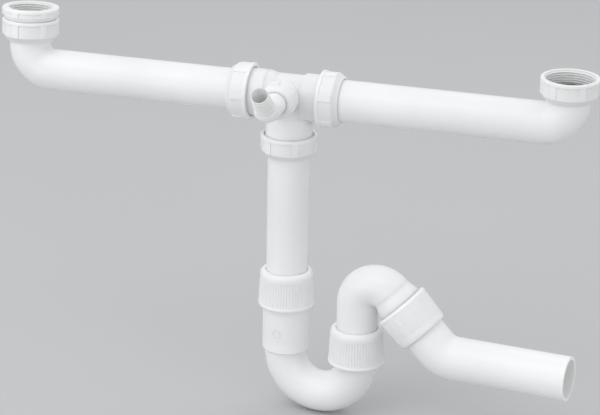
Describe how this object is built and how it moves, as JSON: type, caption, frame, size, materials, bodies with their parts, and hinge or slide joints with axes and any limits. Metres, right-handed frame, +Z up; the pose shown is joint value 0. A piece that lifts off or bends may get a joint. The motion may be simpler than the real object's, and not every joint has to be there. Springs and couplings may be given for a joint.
{
  "type": "double kitchen sink trap",
  "caption": "Double sink waste: two inlet arms meet in a tee with a hose nozzle, then a drop tube, a U trap and a gooseneck lead to a level outlet pipe.",
  "frame": {"origin": "centre of the right inlet's mouth, in the plane of its nut's rim", "axes": "+X along the arms from the left inlet to the right one, +Z up and out of the right inlet, -Y towards the hose nozzle"},
  "size_m": [0.5858, 0.1347, 0.3828],
  "materials": {
    "pipe": "moulded polypropylene, satin",
    "nut": "moulded polypropylene, satin, ribbed or knurled",
    "nozzle": "moulded polypropylene, satin, with fine barbs",
    "slip_ring": "moulded, plain",
    "rubber": "smooth black rubber"
  },
  "bodies": {
    "right_arm": {"right_arm_pipe": "pipe", "right_inlet_gasket": "rubber"},
    "right_inlet_nut": {"right_inlet_nut": "nut"},
    "right_tee_slip": {"right_tee_slip_ring": "slip_ring", "right_tee_seal": "rubber"},
    "tee": {"tee_body": "pipe"},
    "right_tee_nut": {"right_tee_nut": "nut"},
    "left_tee_nut": {"left_tee_nut": "nut"},
    "lower_tee_nut": {"lower_tee_nut": "nut"},
    "left_tee_slip": {"left_tee_slip_ring": "slip_ring", "left_tee_seal": "rubber"},
    "left_arm": {"left_arm_pipe": "pipe", "left_inlet_gasket": "rubber"},
    "left_inlet_nut": {"left_inlet_nut": "nut", "left_adapter": "pipe"},
    "hose_nozzle": {"hose_nozzle": "nozzle", "nozzle_gasket": "rubber"},
    "nozzle_nut": {"nozzle_nut": "nut"},
    "drop_tube": {"drop_tube": "pipe", "lower_tee_gasket": "rubber"},
    "trap_inlet_slip": {"trap_inlet_slip_ring": "slip_ring", "trap_inlet_seal": "rubber"},
    "u_bend": {"u_bend": "pipe"},
    "trap_inlet_nut": {"trap_inlet_nut": "nut"},
    "riser_nut": {"riser_nut": "nut"},
    "riser_slip": {"riser_slip_ring": "slip_ring", "riser_seal": "rubber"},
    "gooseneck": {"gooseneck": "pipe"},
    "outlet_nut": {"outlet_nut": "nut"},
    "outlet_slip": {"outlet_slip_ring": "slip_ring", "outlet_seal": "rubber"},
    "outlet_pipe": {"outlet_pipe": "pipe"}
  },
  "joints": [
    {"name": "right_inlet_nut_spin", "type": "hinge", "parent": "right_arm", "child": "right_inlet_nut", "pos_m": [0, 0, 0], "axis": [0, 0, 1], "continuous": true},
    {"name": "right_arm_telescope", "type": "slide", "parent": "right_arm", "child": "right_tee_slip", "axis": [1, 0, 0], "range_m": [-0.012, 0.005]},
    {"name": "tee_swivel", "type": "hinge", "parent": "right_tee_slip", "child": "tee", "pos_m": [-0.214, 0, -0.0462], "axis": [1, 0, 0], "range_deg": [-45, 45]},
    {"name": "right_tee_nut_turn", "type": "hinge", "parent": "tee", "child": "right_tee_nut", "pos_m": [-0.214, 0, -0.0462], "axis": [1, 0, 0], "range_deg": [0, 90]},
    {"name": "left_tee_nut_turn", "type": "hinge", "parent": "tee", "child": "left_tee_nut", "pos_m": [-0.3235, 0, -0.0462], "axis": [-1, 0, 0], "range_deg": [0, 90]},
    {"name": "lower_tee_nut_turn", "type": "hinge", "parent": "tee", "child": "lower_tee_nut", "pos_m": [-0.2665, 0, -0.1052], "axis": [0, 0, -1], "range_deg": [0, 90]},
    {"name": "left_arm_swivel", "type": "hinge", "parent": "tee", "child": "left_tee_slip", "pos_m": [-0.3235, 0, -0.0462], "axis": [1, 0, 0], "range_deg": [-85, 90]},
    {"name": "left_arm_telescope", "type": "slide", "parent": "left_tee_slip", "child": "left_arm", "axis": [-1, 0, 0], "range_m": [-0.005, 0.012]},
    {"name": "left_inlet_nut_spin", "type": "hinge", "parent": "left_arm", "child": "left_inlet_nut", "pos_m": [-0.5309, 0.00443, 0.01414], "axis": [0, 0.0732, 0.9973], "continuous": true},
    {"name": "nozzle_swivel", "type": "hinge", "parent": "tee", "child": "hose_nozzle", "pos_m": [-0.2665, -0.048, -0.0402], "axis": [0, 1, 0], "range_deg": [-90, 90]},
    {"name": "nozzle_nut_turn", "type": "hinge", "parent": "tee", "child": "nozzle_nut", "pos_m": [-0.2665, -0.048, -0.0402], "axis": [0, -1, 0], "range_deg": [0, 90]},
    {"name": "drop_tube_swivel", "type": "hinge", "parent": "tee", "child": "drop_tube", "pos_m": [-0.2665, 0, -0.1052], "axis": [0, 0, 1], "range_deg": [-90, 90]},
    {"name": "trap_height", "type": "slide", "parent": "drop_tube", "child": "trap_inlet_slip", "axis": [0, 0, 1], "range_m": [-0.025, 0.012]},
    {"name": "trap_swivel", "type": "hinge", "parent": "trap_inlet_slip", "child": "u_bend", "pos_m": [-0.2665, 0, -0.2232], "axis": [0, 0, 1], "range_deg": [-90, 90]},
    {"name": "trap_inlet_nut_turn", "type": "hinge", "parent": "u_bend", "child": "trap_inlet_nut", "pos_m": [-0.2665, 0, -0.2232], "axis": [0, 0, 1], "range_deg": [0, 90]},
    {"name": "riser_nut_turn", "type": "hinge", "parent": "u_bend", "child": "riser_nut", "pos_m": [-0.19198, -0.00849, -0.2712], "axis": [0, 0, 1], "range_deg": [0, 90]},
    {"name": "riser_swivel", "type": "hinge", "parent": "u_bend", "child": "riser_slip", "pos_m": [-0.19198, -0.00849, -0.2712], "axis": [0, 0, 1], "range_deg": [-60, 60]},
    {"name": "riser_height", "type": "slide", "parent": "riser_slip", "child": "gooseneck", "axis": [0, 0, 1], "range_m": [-0.006, 0.006]},
    {"name": "outlet_nut_turn", "type": "hinge", "parent": "gooseneck", "child": "outlet_nut", "pos_m": [-0.12355, -0.01629, -0.26487], "axis": [0.7026, -0.08, -0.7071], "range_deg": [0, 90]},
    {"name": "outlet_swivel", "type": "hinge", "parent": "gooseneck", "child": "outlet_slip", "pos_m": [-0.12355, -0.01629, -0.26487], "axis": [0.7026, -0.08, -0.7071], "range_deg": [-60, 60]},
    {"name": "outlet_telescope", "type": "slide", "parent": "outlet_slip", "child": "outlet_pipe", "axis": [0.7026, -0.08, -0.7071], "range_m": [-0.006, 0.01]}
  ]
}
